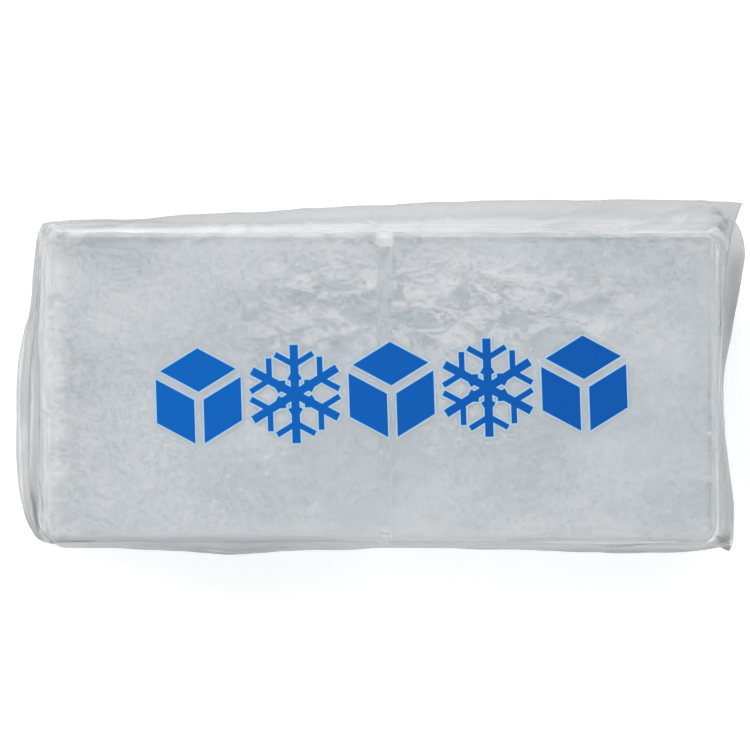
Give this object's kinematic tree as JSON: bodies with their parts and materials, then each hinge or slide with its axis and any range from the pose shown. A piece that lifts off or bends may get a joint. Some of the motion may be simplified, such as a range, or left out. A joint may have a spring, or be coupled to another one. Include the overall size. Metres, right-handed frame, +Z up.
{
  "type": "bagged ice block",
  "caption": "Rectangular block of clear ice with a split groove, sealed in a loose clear film bag with end fins; lies flat.",
  "frame": {"origin": "middle of the flat underside, under the middle of the ice block", "axes": "+X along the block's length, from the end with the flat fin towards the end with the hanging fin; +Y towards the side with the long loose fold; +Z up"},
  "size_m": [0.2836, 0.1361, 0.0616],
  "materials": {
    "ice": "clear ice with a lightly frosted skin",
    "film": "thin clear polyethylene film, creased, with a blue print"
  },
  "bodies": {
    "root": {"ice_block": "ice", "bag": "film"}
  },
  "joints": []
}
